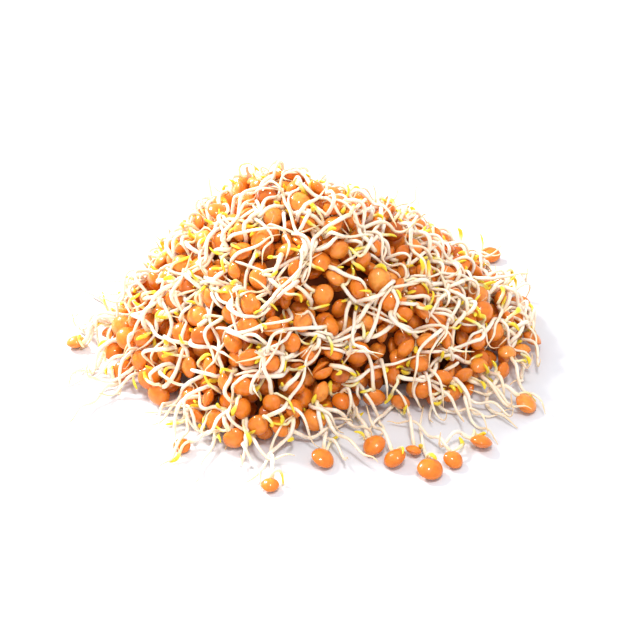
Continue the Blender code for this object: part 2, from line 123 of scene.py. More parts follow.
EDGE_SHOOT_LIFT = 0.35
CAD_LEAF_START = 0.68
LEAF_RADIUS = 0.62 * MM
STRAND_POINTS = 20
STRAND_SWELL = (0.85, 1.15)
WANDER_PACE = (0.4, 2.2)
FIRST_KINK = 4
KINK_TURN = (0.7, 1.5)
STEER_LIMIT = 0.6
STEER_DEPTH = 3.0 * MM
STEER_LENGTH = 1.2 * MM
LEVEL_BELOW = 2.5 * MM
LEVEL_WITHIN = 2.0 * MM

# How the sprouts lie on each other, as in the CAD part. A reach is a share of the way to the foot
SEED_SPACING = 5.7 * MM
SEED_TRIES = 12000
SEED_SINKING = 0.45 * MM
SEEDED_REACH = 0.985
SETTLE_ROUNDS = 45
OVERLAP_PUSH = 0.4
STRAY_PULL = 0.3
DROOP = 0.02
GAP = 0.3 * MM

# Sprouts at the foot of the heap: x, y, bearing of the root and bearing of the shoot (mm, degrees)
EDGE_SPROUTS = (
    (-72.5, 3.2, 330, 200),
    (-38.1, -45.7, 35, 210),
    (-13.4, -62.5, 75, 250),
    (0.8, -51.8, 85, 60),
    (14.9, -46.6, 110, 260),
    (20.4, -52.0, 100, 330),
    (25.8, -47.8, 75, 300),
    (29.9, -56.6, 95, 150),
    (36.4, -52.2, 110, 20),
    (44.6, -44.7, 150, 20),
    (58.5, -27.5, 140, 15),
    (54.1, 50.4, 215, 80),
    (6.0, 62.0, 265, 120),
    (-51.0, 47.0, 300, 120),
)

# Seeds, roots and the unseen middle under the outermost layer. The middle's reach is that of its lowest
# and its highest ring, as shares of the foot's. Its floor is its foot's height and the least height of
# its rings
BURIED_TRIES = 20000
BURIED_REACH = 0.97
BURIED_DEPTH = (2.4 * MM, 8.5 * MM)
BURIED_LEAN = 1.2
OUTER_CLEARANCE = 0.8
DEEPEST_WITH_ROOT = 4.6 * MM
BURIED_ROOT_LENGTH = (17.0 * MM, 34.0 * MM)
BURIED_ROOT_TURNS = 26.0
BURIED_ROOT_RISE = (0.8 * MM, 4.6 * MM)
MIDDLE_DEPTH = 7.0 * MM
MIDDLE_SIDES = 48
MIDDLE_RINGS = 9
MIDDLE_REACH = (0.80, 0.1)
MIDDLE_FLOOR = (0.3 * MM, 1.0 * MM)

# How the roots and shoots are let down, in small steps, and pushed off each other. The crossing reach
# is in radii of the stoutest strand, and the deepest place inside a seed is a share of the way from its
# middle to its skin
DRAPE_ROUNDS = 70
ROUNDS_BETWEEN_SEARCHES = 14
SEEDS_SEARCHED = 7
DRAPE_STEP = 0.02 * MM
BENDS_KEPT = 0.7
BEND_STIFFNESS = 0.35
CROSSING_PUSH = 0.35
CROSSING_REACH = 2.2
DEEPEST_INSIDE = 0.3
POINTS_AT_CROWN = 3
STRAND_GAP = 0.05 * MM

# A seed's finer shape. A rim sharpness of 0.5 is an oval section, and more gives a sharper rim. Depths
# are shares of half the seed's width, the dome is a share of half its thickness, and widths are angles
# round it in radians. The parted share is that of the seeds whose halves part at the crown
RIM_SHARPNESS = 0.72
NOTCH_DEPTH = 0.1
NOTCH_WIDTH = 0.28
SLIT_DEPTH = 0.2
SLIT_WIDTH = 0.8
PARTED_SHARE = 0.55
CROWN_WIDTH = 0.45
GAPE_ANGLE = math.radians(9)
HALF_SEED_DOME = 0.08
OUT_OF_ROUND = (0.025, 0.018)
SEED_RINGS = 10
BURIED_SEED_RINGS = 6

# The finer shape of roots and shoots. Starts and lengths are shares of the strand's length, and the
# butt and the tip stand out by these shares of its radius there. A point is where the strand would
# end, how long its narrowing part is, and how full: less than 1 is rounder
STRAND_LUMPS = 0.05
LUMP_PACE = 1.3
BUTT_LENGTH = 0.4
TIP_LENGTH = 0.8
ROOT_SIDES = 7
BURIED_ROOT_SIDES = 6
EDGE_ROOT_SIDES = 8
ROOT_TAPER = (1.08, 0.38)
ROOT_POINT = (1.03, 0.28, 0.5)
SHOOT_SIDES = 8
SHOOT_RINGS = 28
BURIED_SHOOT_SIDES = 7
BURIED_SHOOT_RINGS = 22
SHOOT_POINT = (1.02, 0.26, 0.55)
STEM_WIDTH = 0.95
LEAF_START = 0.58
LEAF_SWELL_LENGTH = 0.14
LEAF_FOLDS = 0.14
FOLD_PACE = 20
LEAF_FLATTENING = 0.42
ANY_DIRECTION = (0.3, 0.5, 0.81)

# Moist skin: the shine under its film of water, the film's roughness, how deep light gets in, and how
# wet the strands are as a share of the seeds
SKIN_SHINE = 0.22
FILM_ROUGHNESS = 0.04
GLOW_DEPTH = 1.0 * MM
STRAND_WETNESS = 0.5

# The stage, with the camera that matches the photo. The front lamp has a share of the key lamp's power
TABLE_HALF_WIDTH = 3.0
TABLE_COLOUR = (0.73, 0.73, 0.77)
TABLE_ROUGHNESS = 0.6
LIT_POINT = (0, 0, 20.0 * MM)
KEY_LAMP_PLACE = (-0.46, 0.35, 0.47)
KEY_LAMP_SIZE = 0.20
KEY_LAMP_COLOUR = (1.0, 0.98, 0.95)
FRONT_LAMP_PLACE = (0.06, -0.30, 0.78)
FRONT_LAMP_SIZE = 0.18
FRONT_LAMP_SHARE = 0.3
FRONT_LAMP_COLOUR = (1.0, 1.0, 1.0)
SKY_COLOUR = (0.97, 0.98, 1.0)
CAMERA_TARGET = (0.0, 0.0, 12.0 * MM)
CAMERA_DISTANCE = 560.0 * MM
CAMERA_ELEVATION = 35.0
CAMERA_LENS = 107.6
SENSOR_WIDTH = 36.0


def heap_outline(bearing):
    """The foot's distance from the apex's foot at bearings in radians, on a smooth closed curve."""
    degrees = np.array([b for b, _ in FOOTPRINT], float)
    reach = np.array([r for _, r in FOOTPRINT], float) * MM
    degrees = np.concatenate([degrees[-2:] - 360, degrees, degrees[:2] + 360])
    reach = np.concatenate([reach[-2:], reach, reach[:2]])
    at = np.degrees(bearing) % 360
    k = np.clip(np.searchsorted(degrees, at, side="right") - 1, 1, len(degrees) - 3)
    t = (at - degrees[k]) / (degrees[k + 1] - degrees[k])
    a, b, c, d = reach[k - 1], reach[k], reach[k + 1], reach[k + 2]
    slope_b, slope_c = (c - a) / 2, (d - b) / 2
    t2, t3 = t * t, t * t * t
    start = (2 * t3 - 3 * t2 + 1) * b + (t3 - 2 * t2 + t) * slope_b
    return start + (3 * t2 - 2 * t3) * c + (t3 - t2) * slope_c


def share_of_reach(x, y):
    """How far out a place lies, from 0 under the apex to 1 at the foot. The heap gets rounder upwards."""
    dx, dy = x - APEX[0], y - APEX[1]
    distance = np.hypot(dx, dy)
    outline = heap_outline(np.arctan2(dy, dx))
    return distance / (TOP_REACH + (outline - TOP_REACH) * np.clip(distance / outline, 0, 1))


def surface_height(x, y):
    """The height of the middle of the outermost seeds over the table."""
    rise = 1 - np.clip(share_of_reach(x, y), 0, 1) ** SLOPE_ROUNDNESS
    length_x, length_y = LARGE_LUMP_LENGTHS
    lumps = LARGE_LUMPS * np.sin(x / length_x + 1.0) * np.cos(y / length_y)
    lumps += SMALL_LUMPS * np.sin((x + y) / SMALL_LUMP_LENGTH)
    return LOWEST_SEED + (HEAP_HEIGHT - LOWEST_SEED) * np.clip(rise * (1 + lumps), 0, HIGHEST_RISE)


def surface_normal(x, y):
    step = 1.5 * MM
    dx = (surface_height(x + step, y) - surface_height(x - step, y)) / (2 * step)
    dy = (surface_height(x, y + step) - surface_height(x, y - step)) / (2 * step)
    return unit(np.stack([-dx, -dy, np.ones_like(dx)], -1))


def depth_under_surface(points):
    x, y, z = points[..., 0], points[..., 1], points[..., 2]
    return (surface_height(x, y) - z) * surface_normal(x, y)[..., 2]


def unit(vectors):
    return vectors / np.maximum(np.linalg.norm(vectors, axis=-1, keepdims=True), 1e-12)


def random_directions(random, count):
    return unit(random.normal(size=(count, 3)))


def headings(bearings, rise):
    """Level directions at compass bearings in degrees, tilted up by a rise."""
    angle = np.radians(bearings)
    return unit(np.column_stack([np.cos(angle), np.sin(angle), np.full(len(angle), float(rise))]))


def scattered(candidates, spacing):
    """Those of the candidate points, in order, that keep their spacing from all kept before."""
    kept = np.empty_like(candidates)
    count = 0
    for point in candidates:
        gaps = kept[:count] - point
        if count == 0 or np.einsum("ij,ij->i", gaps, gaps).min() > spacing**2:
            kept[count] = point
            count += 1
    return kept[:count]


def half_height(axis, width, thickness):
    """Half the height of a lens over the table, whichever way it is tilted."""
    upright = axis[..., 2] ** 2
    return np.sqrt((thickness / 2) ** 2 * upright + (width / 2) ** 2 * (1 - upright))


def reach_along(axis, width, thickness, direction):
    """How far a lens reaches from its middle along a direction."""
    along = np.einsum("...i,...i->...", axis, direction) ** 2
    return 1 / np.sqrt(along / (thickness / 2) ** 2 + (1 - along) / (width / 2) ** 2)


def settle(place, axis, width, thickness, fixed=0):
    """Moves overlapping seeds apart, keeps them off the table and presses strays back into the heap."""
    first, second = np.triu_indices(len(place), 1)
    near = np.linalg.norm(place[first] - place[second], axis=1) < 2 * SEED_WIDTH
    a, b = first[near], second[near]
    floor = half_height(axis, width, thickness) + GAP / 2
    for _ in range(SETTLE_ROUNDS):
        between = place[b] - place[a]
        distance = np.linalg.norm(between, axis=1)
        direction = between / distance[:, None]
        wanted = reach_along(axis[a], width[a], thickness[a], direction) + GAP
        wanted += reach_along(axis[b], width[b], thickness[b], direction)
        push = np.maximum(wanted - distance, 0)[:, None] * direction * OVERLAP_PUSH
        move = np.zeros_like(place)
        np.add.at(move, a, -push)
        np.add.at(move, b, push)
        stray = np.maximum(-depth_under_surface(place) - 2 * SEED_SINKING, 0)
        move -= STRAY_PULL * stray[:, None] * surface_normal(place[:, 0], place[:, 1])
        move[:fixed] = 0
        place = place + move
        place[fixed:, 2] = np.maximum(place[fixed:, 2], floor[fixed:])
    return place


def make_seeds(random):
    """The edge sprouts' seeds, then those on the heap: middle, lens axis, crown direction and size."""
    flat = random.uniform(-REACH, REACH, size=(SEED_TRIES, 2))
    flat = flat[share_of_reach(flat[:, 0], flat[:, 1]) < SEEDED_REACH]
    height = surface_height(flat[:, 0], flat[:, 1]) + random.normal(0, SEED_SINKING, len(flat))
    heap = scattered(np.column_stack([flat, height]), SEED_SPACING)
    edge = np.array([(x * MM, y * MM, 0) for x, y, _, _ in EDGE_SPROUTS])
    place = np.concatenate([edge, heap])
    count = len(place)
    on_edge = np.arange(count) < len(edge)
    width = SEED_WIDTH * np.clip(random.normal(1, SEED_SIZE_SPREAD, count), *SEED_SIZE_LIMITS)
    thickness = width * SEED_THICKNESS_SHARE * random.uniform(*SEED_PLUMPNESS, count)
    lean = np.where(on_edge, EDGE_SEED_LEAN, SEED_LEAN)[:, None]
    axis = unit(surface_normal(place[:, 0], place[:, 1]) + lean * random_directions(random, count))
    crown = random_directions(random, count)
    crown[on_edge] = headings([root for _, _, root, _ in EDGE_SPROUTS], 0)
    crown = unit(crown - np.einsum("ij,ij->i", crown, axis)[:, None] * axis)
    place = settle(place, axis, width, thickness)
    shape = {"axis": axis, "crown": crown, "width": width, "thickness": thickness}
    return {"place": place, "edge": on_edge, **shape}


def search_tree(points):
    """A tree that quickly finds those of some points that are near a place."""
    tree = KDTree(len(points))
    for index, point in enumerate(points):
        tree.insert(point, index)
    tree.balance()
    return tree


def bury_seeds(seeds, spacing):
    """Seeds under the outermost layer, which show in the gaps between those of it."""
    random = np.random.default_rng(BURIED_RANDOM_SEED)
    flat = random.uniform(-REACH, REACH, size=(BURIED_TRIES, 2))
    flat = flat[share_of_reach(flat[:, 0], flat[:, 1]) < BURIED_REACH]
    depth = random.uniform(*BURIED_DEPTH, len(flat))
    place = np.column_stack([flat, surface_height(flat[:, 0], flat[:, 1])])
    place -= depth[:, None] * surface_normal(flat[:, 0], flat[:, 1])
    place[:, 2] = np.maximum(place[:, 2], LOWEST_SEED)
    outer = search_tree(seeds["place"])
    clear = [outer.find(point)[2] > OUTER_CLEARANCE * spacing for point in place]
    place = scattered(place[clear], spacing)
    count = len(place)
    width = SEED_WIDTH * np.clip(random.normal(1, SEED_SIZE_SPREAD, count), *SEED_SIZE_LIMITS)
    thickness = width * SEED_THICKNESS_SHARE * random.uniform(*SEED_PLUMPNESS, count)
    axis = unit(surface_normal(place[:, 0], place[:, 1]) + BURIED_LEAN * random_directions(random, count))
    crown = random_directions(random, count)
    crown = unit(crown - np.einsum("ij,ij->i", crown, axis)[:, None] * axis)
    buried = {"place": place, "axis": axis, "crown": crown, "width": width, "thickness": thickness}
    both = {key: np.concatenate([seeds[key], buried[key]]) for key in buried}
    fixed = len(seeds["place"])
    settled = settle(both["place"], both["axis"], both["width"], both["thickness"], fixed)
    return {**buried, "place": settled[fixed:], "edge": np.zeros(count, bool)}


def grow(random, seeds, heading, length, turn_rate, bend, height_wanted):
    """Lines of points that leave their seeds' crowns and wander just over the heap's surface.

    Each line turns by three slow waves, by a steady bend and at most at one kink. It is steered towards
    its wanted height over the surface, droops, and levels out near the table."""
    place, crown, width = seeds["place"], seeds["crown"], seeds["width"]
    count = len(place)
    points = np.empty((count, STRAND_POINTS, 3))
    points[:, 0] = place + crown * (width * CROWN_REACH)[:, None]
    step = (length / (STRAND_POINTS - 1))[:, None]
    size = random.normal(size=(3, count, 3)) * turn_rate
    pace = random.uniform(*WANDER_PACE, (3, count, 1))
    start = random.uniform(0, 2 * math.pi, (3, count, 1))
    kink_at = random.integers(FIRST_KINK, STRAND_POINTS * 2, count)
    kink = random_directions(random, count) * random.uniform(*KINK_TURN, (count, 1))
    for k in range(1, STRAND_POINTS):
        before = points[:, k - 1]
        wander = (size * np.sin(2 * math.pi * pace * k / STRAND_POINTS + start)).sum(0)
        turn = (wander + bend) * step + np.where((kink_at == k)[:, None], kink, 0)
        heading = unit(heading + np.cross(turn, heading))
        outward = surface_normal(before[:, 0], before[:, 1])
        sunk = depth_under_surface(before) + height_wanted
        steer = np.clip(sunk / STEER_DEPTH, -STEER_LIMIT, STEER_LIMIT) * step[:, 0] / STEER_LENGTH
        heading = heading + outward * steer[:, None]
        heading[:, 2] -= DROOP
        low = np.clip((LEVEL_BELOW - before[:, 2]) / LEVEL_WITHIN, 0, 1)
        heading[:, 2] += low * np.maximum(-heading[:, 2], 0)
        heading = unit(heading)
        points[:, k] = before + heading * step
        points[:, k, 2] = np.maximum(points[:, k, 2], SHOOT_RADIUS)
    return points


def grow_roots(random, seeds, lengths=ROOT_LENGTH, turns=ROOT_TURNS, rise=ROOT_RISE):
    """Each seed's root: its line of points, its radius at each and the length between two of them."""
    count = len(seeds["place"])
    share = np.linspace(0, 1, STRAND_POINTS)
    length = random.uniform(*lengths, count)
    height = random.uniform(*rise, count)
    heading = unit(seeds["crown"] + ROOT_LEAN * random_directions(random, count))
    points = grow(random, seeds, heading, length, turns, 0, height)
    swell = random.uniform(*STRAND_SWELL, count)[:, None]
    radius = ROOT_TIP_RADIUS + (ROOT_BASE_RADIUS - ROOT_TIP_RADIUS) * (1 - share**ROOT_FULLNESS)
    return points, radius * swell, length / (STRAND_POINTS - 1)


def grow_shoots(random, seeds):
    """Each seed's shoot, which hooks over and swells to its folded first leaves."""
    count = len(seeds["place"])
    share = np.linspace(0, 1, STRAND_POINTS)
    length = random.uniform(*SHOOT_LENGTH, count)
    side = np.cross(seeds["axis"], seeds["crown"])
    way = np.where(random.random(count) < 0.5, -1.0, 1.0)[:, None]
    lift = seeds["axis"] * random.normal(size=(count, 1))
    heading = unit(SHOOT_FORWARD * seeds["crown"] + way * side + SHOOT_LIFT * lift)
    if seeds["edge"].any():
        heading[seeds["edge"]] = headings([shoot for _, _, _, shoot in EDGE_SPROUTS], EDGE_SHOOT_LIFT)
    hook = random_directions(random, count) * random.uniform(*SHOOT_HOOK, (count, 1))
    height = random.uniform(*SHOOT_RISE_MM, count) * MM
    points = grow(random, seeds, heading, length, SHOOT_TURNS, hook, height)
    swell = random.uniform(*STRAND_SWELL, count)[:, None]
    leaf = np.clip((share - CAD_LEAF_START) / LEAF_SWELL_LENGTH, 0, 1)
    radius = SHOOT_RADIUS + (LEAF_RADIUS - SHOOT_RADIUS) * leaf
    return points, radius * swell, length / (STRAND_POINTS - 1)


def joined(*groups):
    """Several groups of strands, each of lines, radii and steps, as one group."""
    return tuple(np.concatenate(column) for column in zip(*groups))


def picked(group, rows):
    """Some rows of a dictionary of columns or of a group of strands."""
    if isinstance(group, dict):
        return {key: column[rows] for key, column in group.items()}
    return tuple(column[rows] for column in group)


def push_out_of_seeds(flat, radius, near, seeds, own):
    """Moves strand points that lie in a seed out along the line from the seed's middle."""
    offset = flat[:, None] - seeds["place"][near]
    along = np.einsum("nki,nki->nk", offset, seeds["axis"][near])
    across = np.maximum(np.einsum("nki,nki->nk", offset, offset) - along**2, 0)
    tall = seeds["thickness"][near] / 2 + radius[:, None]
    wide = seeds["width"][near] / 2 + radius[:, None]
    inside = np.maximum(np.sqrt((along / tall) ** 2 + across / wide**2), DEEPEST_INSIDE)
    inside[own] = math.inf
    row = np.arange(len(flat))
    deepest = inside.argmin(1)
    share = inside[row, deepest]
    out = offset[row, deepest] * (1 / share - 1)[:, None]
    return np.where((share < 1)[:, None], out, 0)


def crossing_points(flat, radius, owner):
    """Pairs of points of different strands that are near each other."""
    tree = search_tree(flat)
    reach = CROSSING_REACH * radius.max()
    pairs = []
    for index, point in enumerate(flat):
        for _, other, _ in tree.find_range(point, reach):
            if other > index and owner[other] != owner[index]:
                pairs.append((index, other))
    return np.array(pairs).reshape(-1, 2)


def push_apart(flat, radius, pairs):
    """Moves strand points that lie in another strand away from each other."""
    first, second = pairs[:, 0], pairs[:, 1]
    between = flat[second] - flat[first]
    distance = np.linalg.norm(between, axis=1)
    short = np.maximum(radius[first] + radius[second] + STRAND_GAP - distance, 0)
    push = CROSSING_PUSH * (short / np.maximum(distance, STRAND_GAP))[:, None] * between
    move = np.zeros_like(flat)
    np.add.at(move, first, -push)
    np.add.at(move, second, push)
    return move


def drape(strands, seeds, owner, box):
    """Lets strands down on the seeds and on each other, inside a box. Only their bends get weaker."""
    points, radius, step = strands
    low, high = box
    bends = BENDS_KEPT * (points[:, 1:-1] - (points[:, :-2] + points[:, 2:]) / 2)
    start = points[:, 0].copy()
    tree = search_tree(seeds["place"])
    flat_radius = radius.reshape(-1)
    strand_of = np.repeat(np.arange(len(points)), STRAND_POINTS)
    at_crown = np.tile(np.arange(STRAND_POINTS) < POINTS_AT_CROWN, len(points))
    for round_number in range(DRAPE_ROUNDS):
        flat = points.reshape(-1, 3)
        if round_number % ROUNDS_BETWEEN_SEARCHES == 0:
            found = [tree.find_n(point, SEEDS_SEARCHED) for point in flat]
            near = np.array([[index for _, index, _ in row] for row in found])
            own = (near == owner[strand_of][:, None]) & at_crown[:, None]
            pairs = crossing_points(flat, flat_radius, strand_of)
        points[:, 1:, 2] -= DRAPE_STEP
        straight = (points[:, :-2] + points[:, 2:]) / 2 + bends
        points[:, 1:-1] += BEND_STIFFNESS * (straight - points[:, 1:-1])
        flat = points.reshape(-1, 3)
        flat = flat + push_apart(flat, flat_radius, pairs)
        flat = flat + push_out_of_seeds(flat, flat_radius, near, seeds, own)
        flat = np.clip(flat, low + flat_radius[:, None], high - flat_radius[:, None])
        points = flat.reshape(points.shape)
        points[:, 0] = start
        for k in range(1, STRAND_POINTS):
            along = unit(points[:, k] - points[:, k - 1])
            points[:, k] = points[:, k - 1] + along * step[:, None]
    points[..., 2] = np.maximum(points[..., 2], radius + GAP / 3)
    return points, radius


@functools.cache
def plan():
    """Where every seed, root and shoot lies: outer and buried seeds, their roots and their shoots."""
    settings = bpy.context.scene.sprout_heap
    random = np.random.default_rng(RANDOM_SEED)
    seeds = make_seeds(random)
    roots = grow_roots(random, seeds)
    shoots = grow_shoots(random, seeds)
    buried = bury_seeds(seeds, settings.buried_spacing)
    random = np.random.default_rng(BURIED_RANDOM_SEED)
    rooted = np.flatnonzero(depth_under_surface(buried["place"]) < DEEPEST_WITH_ROOT)
    upper = picked(buried, rooted)
    deep_roots = grow_roots(random, upper, BURIED_ROOT_LENGTH, BURIED_ROOT_TURNS, BURIED_ROOT_RISE)
    deep_shoots = grow_shoots(random, upper)
    every = {key: np.concatenate([seeds[key], buried[key]]) for key in buried}
    outer_owner = np.arange(len(seeds["place"]))
    deep_owner = rooted + len(seeds["place"])
    owner = np.concatenate([outer_owner, outer_owner, deep_owner, deep_owner])
    low, high = (np.array(corner, float) for corner in CAD_BOX)
    lines, radii = drape(joined(roots, shoots, deep_roots, deep_shoots), every, owner, (low, high))
    ends = np.cumsum([0, len(outer_owner), len(outer_owner), len(rooted), len(rooted)])
    names = ("roots", "shoots", "deep_roots", "deep_shoots")
    laid = {name: (lines[a:b], radii[a:b]) for name, a, b in zip(names, ends, ends[1:])}
    return {"seeds": seeds, "buried": buried, **laid}


def refined(columns, count):
    """Lines of points, or radii along them, at more places along the same smooth curves."""
    last = columns.shape[1] - 1
    at = np.linspace(0, last, count)
    k = np.minimum(at.astype(int), last - 1)
    t = (at - k).reshape(1, -1, *[1] * (columns.ndim - 2))
    before, after = np.maximum(k - 1, 0), np.minimum(k + 2, last)
    a, b, c, d = columns[:, before], columns[:, k], columns[:, k + 1], columns[:, after]
    return b + 0.5 * t * (c - a + t * (2 * a - 5 * b + 4 * c - d + t * (3 * (b - c) + d - a)))


def ring_faces(count, sides):
    """The side faces of a stack of rings whose vertices come ring by ring."""
    ring, side = np.meshgrid(np.arange(count - 1), np.arange(sides), indexing="ij")
    after = (side + 1) % sides
    low, high = ring * sides, (ring + 1) * sides
    return np.stack([low + side, low + after, high + after, high + side], -1).reshape(-1, 4)


def fan(ring, sides, tip):
    """The faces from one ring of a stack to a single point above it."""
    side = np.arange(sides)
    return np.stack([ring * sides + side, ring * sides + (side + 1) % sides, np.full(sides, tip)], -1)


def angle_from_crown(turn):
    """Angles round a seed, counted both ways from its crown."""
    return (turn + math.pi) % (2 * math.pi) - math.pi


def lens_ring(turn, latitude, kept=1.0):
    """One ring of a lens: its vertices and how strongly each is marked as rim and as crown."""
    reach = math.cos(latitude)
    height = math.copysign(max(1 - reach**2, 0) ** RIM_SHARPNESS, latitude)
    across = reach * kept
    ring = np.column_stack([across * np.cos(turn), across * np.sin(turn), np.full(len(turn), height)])
    crown = np.exp(-((angle_from_crown(turn) / CROWN_WIDTH) ** 2)) * reach**2
    return ring, np.full(len(turn), reach**3), crown


def stacked(rings, ends, crown_marks):
    """The vertices and marks of a stack of lens rings, followed by its two end points."""
    vertices, rim, crown = (np.concatenate(column) for column in zip(*rings))
    marks = {"rim": np.append(rim, [0, 0]), "crown": np.append(crown, crown_marks)}
    return np.concatenate([vertices, ends]), marks


def lens_template(sides, rings, slit):
    """A whole seed of half width 1 and half thickness 1 with its crown at +X, and its vertices' marks.

    A slit is how deep the gap between the two halves of the seed is at the crown."""
    turn = np.arange(sides) * 2 * math.pi / sides
    away = angle_from_crown(turn)
    stack = []
    for latitude in np.linspace(-math.pi / 2, math.pi / 2, rings + 1)[1:-1]:
        notch = NOTCH_DEPTH * np.exp(-((away / NOTCH_WIDTH) ** 2)) * math.cos(latitude)
        at_rim = abs(latitude) < math.pi / (4 * rings)
        gap = slit * np.exp(-((away / SLIT_WIDTH) ** 2)) * at_rim
        stack.append(lens_ring(turn, latitude, 1 - notch - gap))
    vertices, marks = stacked(stack, [(0, 0, -1), (0, 0, 1)], [0, 0])
    tip = len(vertices) - 2
    bottom, top = fan(0, sides, tip)[:, ::-1], fan(rings - 2, sides, tip + 1)
    return vertices, [*ring_faces(rings - 1, sides), *bottom, *top], marks


def opened_template(sides, rings, angle):
    """A seed whose two halves gape at the crown, hinged at the rim across from it."""
    half = rings // 2
    turn = np.arange(sides) * 2 * math.pi / sides
    stack = [lens_ring(turn, latitude) for latitude in np.linspace(0, math.pi / 2, half + 1)[:-1]]
    vertices, marks = stacked(stack, [(0, 0, 1), (0, 0, HALF_SEED_DOME)], [0, 0.5])
    tip = len(vertices) - 2
    outside, inside = fan(half - 1, sides, tip), fan(0, sides, tip + 1)[:, ::-1]
    faces = [*ring_faces(half, sides), *outside, *inside]
    x, z = vertices[:, 0] + 1, vertices[:, 2]
    tilted = vertices.copy()
    tilted[:, 0] = x * math.cos(angle) - z * math.sin(angle) * SEED_THICKNESS_SHARE - 1
    tilted[:, 2] = z * math.cos(angle) + x * math.sin(angle) / SEED_THICKNESS_SHARE
    mirrored = tilted * (1, 1, -1)
    faces += [face[::-1] + len(vertices) for face in faces]
    marks = {key: np.tile(mark, 2) for key, mark in marks.items()}
    return np.concatenate([tilted, mirrored]), faces, marks


def stamped(template, seeds, random):
    """One copy of a seed template for each seed, slightly out of round."""
    vertices, faces, marks = template
    count = len(seeds["place"])
    turn = np.arctan2(vertices[:, 1], vertices[:, 0])
    phase = random.uniform(0, 2 * math.pi, (2, count, 1))
    oval, three_sided = OUT_OF_ROUND
    round_off = 1 + oval * np.sin(2 * turn + phase[0]) + three_sided * np.sin(3 * turn + phase[1])
    side = np.cross(seeds["axis"], seeds["crown"])
    wide = (seeds["width"] / 2)[:, None, None]
    tall = (seeds["thickness"] / 2)[:, None, None]
    shape = (vertices[:, 0] * round_off)[..., None] * seeds["crown"][:, None] * wide
    shape += (vertices[:, 1] * round_off)[..., None] * side[:, None] * wide
    shape += vertices[None, :, 2, None] * seeds["axis"][:, None] * tall
    shape += seeds["place"][:, None]
    offsets = np.arange(count) * len(vertices)
    all_faces = [tuple(face + offset) for offset in offsets for face in faces]
    tone = np.repeat(random.random(count), len(vertices))
    marks = {key: np.tile(mark, count) for key, mark in marks.items()}
    return shape.reshape(-1, 3), all_faces, {**marks, "tone": tone}


def tubes(lines, radii, sides, flatness, random):
    """One closed tube along each line. Flatness is each ring's height as a share of its width."""
    count, rings, _ = lines.shape
    directions = unit(np.gradient(lines, axis=1))
    across = unit(np.cross(directions[:, 0], ANY_DIRECTION))
    turn = np.arange(sides) * 2 * math.pi / sides
    wave = random.uniform(0, 2 * math.pi, (count, 1))
    vertices = np.empty((count, rings * sides + 2, 3))
    for ring in range(rings):
        direction = directions[:, ring]
        across = unit(across - direction * np.einsum("ij,ij->i", across, direction)[:, None])
        up = np.cross(direction, across)
        lumps = 1 + STRAND_LUMPS * np.sin(LUMP_PACE * ring + wave)
        reach = radii[:, ring, None] * lumps
        flat = flatness[ring]
        ring_points = (reach * np.cos(turn))[..., None] * across[:, None]
        ring_points += (reach * flat * np.sin(turn))[..., None] * up[:, None]
        vertices[:, ring * sides : (ring + 1) * sides] = lines[:, ring, None] + ring_points
    vertices[:, -2] = lines[:, 0] - directions[:, 0] * radii[:, 0, None] * BUTT_LENGTH
    vertices[:, -1] = lines[:, -1] + directions[:, -1] * radii[:, -1, None] * TIP_LENGTH
    start, end = rings * sides, rings * sides + 1
    faces = [*ring_faces(rings, sides), *fan(0, sides, start)[:, ::-1], *fan(rings - 1, sides, end)]
    offsets = np.arange(count) * (rings * sides + 2)
    all_faces = [tuple(face + offset) for offset in offsets for face in faces]
    along = np.append(np.repeat(np.linspace(0, 1, rings), sides), [0, 1])
    marks = {"along": np.tile(along, count), "tone": np.repeat(random.random(count), rings * sides + 2)}
    return vertices.reshape(-1, 3), all_faces, marks


def drawn_out(share, end, length, fullness):
    """A strand's width as a share of the full one, narrowing over a length to a point at the end."""
    return np.clip((end - share) / length, 0, 1) ** fullness


def root_tubes(strands, rings, sides, random):
    """Roots: stoutest near the crown, drawn out to a point."""
    lines, radii = strands
    share = np.linspace(0, 1, rings)
    point = drawn_out(share, *ROOT_POINT)
    stoutest, loss = ROOT_TAPER
    taper = bpy.context.scene.sprout_heap.root_width * (stoutest - loss * share) * point
    return tubes(refined(lines, rings), refined(radii, rings) * taper, sides, np.ones(rings), random)


def shoot_tubes(strands, rings, sides, random):
    """Shoots: a slim stem that ends in a pair of small folded leaves."""
    lines, radii = strands
    share = np.linspace(0, 1, rings)
    leaf = np.clip((share - LEAF_START) / LEAF_SWELL_LENGTH, 0, 1)
    leaf_width = bpy.context.scene.sprout_heap.leaf_width
    folds = LEAF_FOLDS * np.sin((share - LEAF_START) * FOLD_PACE)
    bulges = STEM_WIDTH + leaf * (leaf_width - STEM_WIDTH + folds)
    point = drawn_out(share, *SHOOT_POINT)
    flatness = 1 - LEAF_FLATTENING * leaf
    return tubes(refined(lines, rings), refined(radii, rings) * bulges * point, sides, flatness, random)


def middle_shape():
    """The unseen middle of the heap, which closes the gaps between the buried seeds. Its dark colour is
    painted shade.
    """
    bearings = np.arange(MIDDLE_SIDES) * 2 * math.pi / MIDDLE_SIDES
    outline = heap_outline(bearings)
    foot, lowest = MIDDLE_FLOOR
    rings = []
    for share in np.linspace(*MIDDLE_REACH, MIDDLE_RINGS):
        x = APEX[0] + share * outline * np.cos(bearings)
        y = APEX[1] + share * outline * np.sin(bearings)
        ring = np.column_stack([x, y, surface_height(x, y)]) - surface_normal(x, y) * MIDDLE_DEPTH
        rings.append(np.column_stack([ring[:, :2], np.maximum(ring[:, 2], lowest)]))
    rings.insert(0, rings[0] * (1, 1, 0) + (0, 0, foot))
    peak = (APEX[0], APEX[1], rings[-1][:, 2].max())
    vertices = np.concatenate([*rings, [peak]])
    bottom = np.arange(MIDDLE_SIDES)[::-1]
    top = fan(len(rings) - 1, MIDDLE_SIDES, len(vertices) - 1)
    return vertices, [*ring_faces(len(rings), MIDDLE_SIDES), *top, bottom], {}


